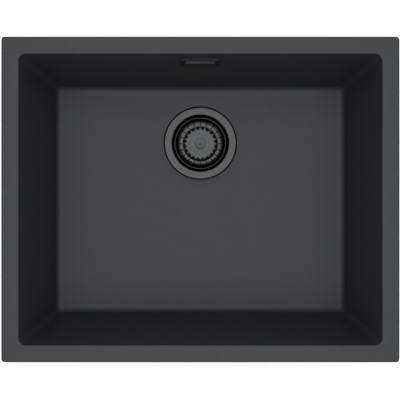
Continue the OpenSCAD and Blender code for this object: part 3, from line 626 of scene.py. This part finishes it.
def about_waste(r, z, angle):
    return Vector((r * math.cos(angle), WASTE_Y + r * math.sin(angle), z))


def turned(section, z):
    """Rings round the waste's axis through a section's points."""
    angles = [2 * math.pi * k / TURNED_STEPS for k in range(TURNED_STEPS)]
    return [[about_waste(p.x, z + p.y, a) for a in angles] for p in section]


def drill(obj, count, first, r, d, z, depth):
    """Holes in a circle round the waste's axis."""
    angles = [first + 2 * math.pi * i / count for i in range(count)]
    cut_prisms(obj, "drill", [bore(about_waste(r, z, a), d / 2, depth) for a in angles])


def make_flange(material):
    """The upper waste as a turned sheet: flange, throat, cup and well."""
    obj = link_mesh("flange_sheet", chain_mesh(turned(rounded(FLANGE_ROWS), FLANGE_TOP)))
    drill(obj, OUTLETS, 0, OUTLET_R, OUTLET_D, FLANGE_TOP - OUTLET_UNDER, OUTLET_DEPTH)
    finish_piece(obj, "sink", "waste_flange", material)


def basket_section(ramp_start, ramp_end, rise, bend_x):
    """The inner face from the flat floor over the shoulder to the lip, above the floor."""
    shares = [i / SHEET_STEPS for i in range(SHEET_STEPS + 1)]
    flat = [Vector((x, 0)) for x in FLAT_RADII]
    ramp = [
        Vector((ramp_start + (ramp_end - ramp_start) * t, rise * (3 - 2 * t) * t * t))
        for t in shares]
    shoulder = [
        Vector((bend_x + SHOULDER_R * math.sin(a), rise + SHOULDER_R * (1 - math.cos(a))))
        for a in (KNEE_ANGLE * t for t in shares)]
    centre = shoulder[-1] + BEND_R * Vector((-math.sin(KNEE_ANGLE), math.cos(KNEE_ANGLE)))
    bend = [
        centre + BEND_R * Vector((math.sin(a), -math.cos(a)))
        for a in (KNEE_ANGLE + (WALL_ANGLE - KNEE_ANGLE) * t for t in shares[1:])]
    top = Vector((LIP_R - LIP_ROUND, LIP_UP))
    wall = [bend[-1].lerp(top, i / WALL_STEPS) for i in range(1, WALL_STEPS + 1)]
    return flat + ramp + shoulder + bend + wall


def below_sheet(section):
    """The outer face of a sheet whose inner face is given."""
    points = []
    for i, p in enumerate(section):
        along = section[min(i + 1, len(section) - 1)] - section[max(i - 1, 0)]
        points.append(p + BASKET_T * Vector((along.y, -along.x)).normalized())
    return points


def basket_loop(section):
    """The sheet's whole outline: recess, inner face, lip, outer face and the part under it."""
    turns = [math.pi - LIP_TURN * i / LIP_STEPS for i in range(LIP_STEPS + 1)]
    top = Vector((LIP_R, LIP_UP))
    lip = [top + LIP_ROUND * Vector((math.cos(a), math.sin(a))) for a in turns]
    recess, under = rounded(RECESS_ROWS, RECESS_STEPS), rounded(UNDER_ROWS, RECESS_STEPS)
    return recess + section[:-1] + lip + below_sheet(section)[-3:0:-1] + under


def make_basket(material):
    """The pressed basket with its pillow-shaped flutes, lip and recess for the post's head."""
    grooves = basket_loop(basket_section(**GROOVE))
    crests = basket_loop(basket_section(**CREST))
    shares = [abs(2 * k / FLUTE_STEPS - 1) ** FLUTE_POWER for k in range(FLUTE_STEPS + 1)]
    step = 2 * math.pi / FLUTES
    arcs = []
    for low, high in zip(grooves, crests):
        row = [high.lerp(low, share) for share in shares]
        arcs.append([
            about_waste(p.x, BASKET_FLOOR + p.y, step * k / FLUTE_STEPS)
            for k, p in enumerate(row)])
    obj = link_mesh("flute", chain_mesh(arcs, whole=False))
    low = BASKET_FLOOR - STRAINER_UNDER
    drill(obj, 1, step / 2, STRAINER_R, STRAINER_D, low, STRAINER_DEPTH)
    turn_flutes(obj, step)
    finish_piece(obj, "basket", "basket", material)


def turn_flutes(obj, step):
    """The whole basket from one flute's wedge, whose two cut sides are taken off."""
    bm = bmesh.new()
    bm.from_mesh(obj.data)
    axis = Vector((0, WASTE_Y, 0))
    for angle in (0, step):
        across = Vector((-math.sin(angle), math.cos(angle), 0))
        side = [
            f for f in bm.faces
            if all(abs((v.co - axis).dot(across)) < SAME_PLACE for v in f.verts)]
        bmesh.ops.delete(bm, geom=side, context="FACES_ONLY")
    wedge = bm.verts[:] + bm.edges[:] + bm.faces[:]
    for i in range(1, FLUTES):
        made = bmesh.ops.duplicate(bm, geom=wedge)["geom"]
        corners = [v for v in made if isinstance(v, bmesh.types.BMVert)]
        turn = Matrix.Rotation(i * step, 3, "Z")
        bmesh.ops.rotate(bm, cent=axis, matrix=turn, verts=corners)
    bmesh.ops.remove_doubles(bm, verts=bm.verts, dist=SEAM)
    bm.to_mesh(obj.data)
    bm.free()


def cut_thread(obj, axis, steps, r, depth, pitch, low, high):
    """A V-shaped groove that climbs round an upright axis."""
    wide, half = r + THREAD_CLEAR, GROOVE_HALF * pitch
    section = [(wide, -half), (wide, half), (r - depth, 0)]
    bm = bmesh.new()
    rings = []
    for k in range(round((high - low) / pitch * steps) + 1):
        a, up = 2 * math.pi * k / steps, low + pitch * k / steps
        places = [Vector((x * math.cos(a), x * math.sin(a), up + rise)) for x, rise in section]
        rings.append([bm.verts.new(axis + p) for p in places])
    for one, two in zip(rings, rings[1:]):
        for i in range(len(section)):
            bm.faces.new((one[i], one[i - 1], two[i - 1], two[i]))
    bm.faces.new(rings[0])
    bm.faces.new(rings[-1])
    bmesh.ops.recalc_face_normals(bm, faces=bm.faces)
    boolean(obj, link_mesh("thread", bm), "DIFFERENCE")


def make_fittings(materials):
    """The plastic and steel parts below, with softened edges and their threads cut."""
    bodies = frame["record"]["behaviour"]["bodies"]
    body_of = {node: body for body, members in bodies.items() for node in members}
    slots = {row["node"]: row["material_slot"] for row in frame["record"]["subparts"]}
    for name, width in SOFT_EDGES.items():
        obj = link_mesh(name + "_soft", softened(name, width))
        if name == "waste_body":
            cut_thread(obj, Vector((0, WASTE_Y, 0)), OUTLET_STEPS, *OUTLET_THREAD)
        finish_piece(obj, body_of[name], name, materials[slots[name]])
    for name in [f"clamp_screw_{k}" for k in range(1, CLAMPS + 1)]:
        low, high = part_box(name)
        axis = Vector(((low[0] + high[0]) / 2, (low[1] + high[1]) / 2, 0))
        obj = link_mesh(name + "_threaded", softened(name, CLAMP_SOFT))
        cut_thread(obj, axis, CLAMP_STEPS, *CLAMP_THREAD)
        finish_piece(obj, body_of[name], name, materials[slots[name]])


def make_materials():
    """The materials by slot."""
    return {
        "composite": composite_material(),
        "gunmetal": metal_material(
            "gunmetal", dark=(0.0228, 0.0232, 0.0238), light=(0.0317, 0.032, 0.0328),
            smooth=0.26, rough=0.32),
        "black_plastic": grained_material(
            "black_plastic", dark=(0.012, 0.012, 0.013), light=(0.02, 0.02, 0.021),
            roughness=0.42, grain_scale=900.0, bump=0.2, Specular_IOR_Level=0.2),
        # Rubber darkened almost to black: painted shade for the dark well seen through the
        # basket's holes
        "rubber": grained_material(
            "rubber", dark=(0.003, 0.003, 0.003), light=(0.006, 0.006, 0.006),
            roughness=0.72, grain_scale=1200.0, bump=0.3, Specular_IOR_Level=0.04),
        "brass": grained_material(
            "brass", dark=(0.50, 0.34, 0.12), light=(0.64, 0.45, 0.18),
            roughness=0.34, grain_scale=500.0, bump=0.1, Metallic=1.0),
        "zinc_steel": grained_material(
            "zinc_steel", dark=(0.44, 0.45, 0.47), light=(0.56, 0.57, 0.59),
            roughness=0.36, grain_scale=500.0, bump=0.1, Metallic=1.0)}


scene = bpy.context.scene
scene.view_settings.view_transform = "Standard"
set_world()
set_camera()
set_key()
set_floor()
materials = make_materials()
for row in frame["record"]["subparts"]:
    set_material(nodes[row["node"]], materials[row["material_slot"]])
# A rougher satin copy of the gunmetal for the overflow's frame and cover. Its lighter colour is
# painted light on their upright faces
satin_painted_light = metal_material(
    "gunmetal_satin", dark=(0.032, 0.0325, 0.0335), light=(0.043, 0.0436, 0.045),
    smooth=0.62, rough=0.70)
set_material(nodes["overflow_frame"], satin_painted_light)
make_bowl(materials["composite"])
make_cover(satin_painted_light)
make_flange(materials["gunmetal"])
make_basket(materials["gunmetal"])
make_fittings(materials)

bpy.context.view_layer.update()
